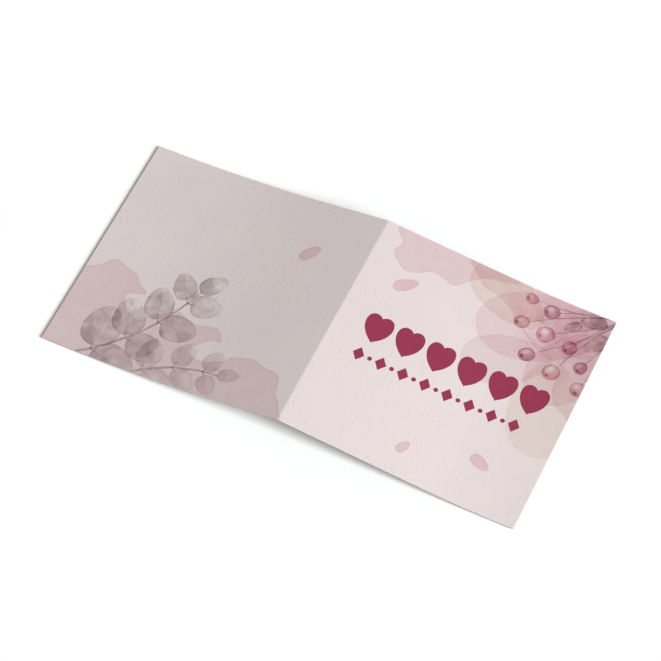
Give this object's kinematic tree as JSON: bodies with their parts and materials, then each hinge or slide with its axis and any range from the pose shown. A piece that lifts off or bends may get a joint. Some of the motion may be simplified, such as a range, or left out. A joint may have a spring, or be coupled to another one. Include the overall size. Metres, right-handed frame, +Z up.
{
  "type": "greeting card",
  "caption": "Square greeting card of one creased sheet, lying open with its cover side up as a low tent that rests on both free edges.",
  "frame": {"origin": "on the table, under the middle of the open card", "axes": "+X across the open card from the back leaf to the front leaf, +Y up the cover along the fold, +Z up from the table"},
  "size_m": [0.264, 0.134, 0.0134],
  "materials": {
    "card": "uncoated, matt, fine speckle"
  },
  "bodies": {
    "root": {"folded_card": "card"}
  },
  "joints": []
}
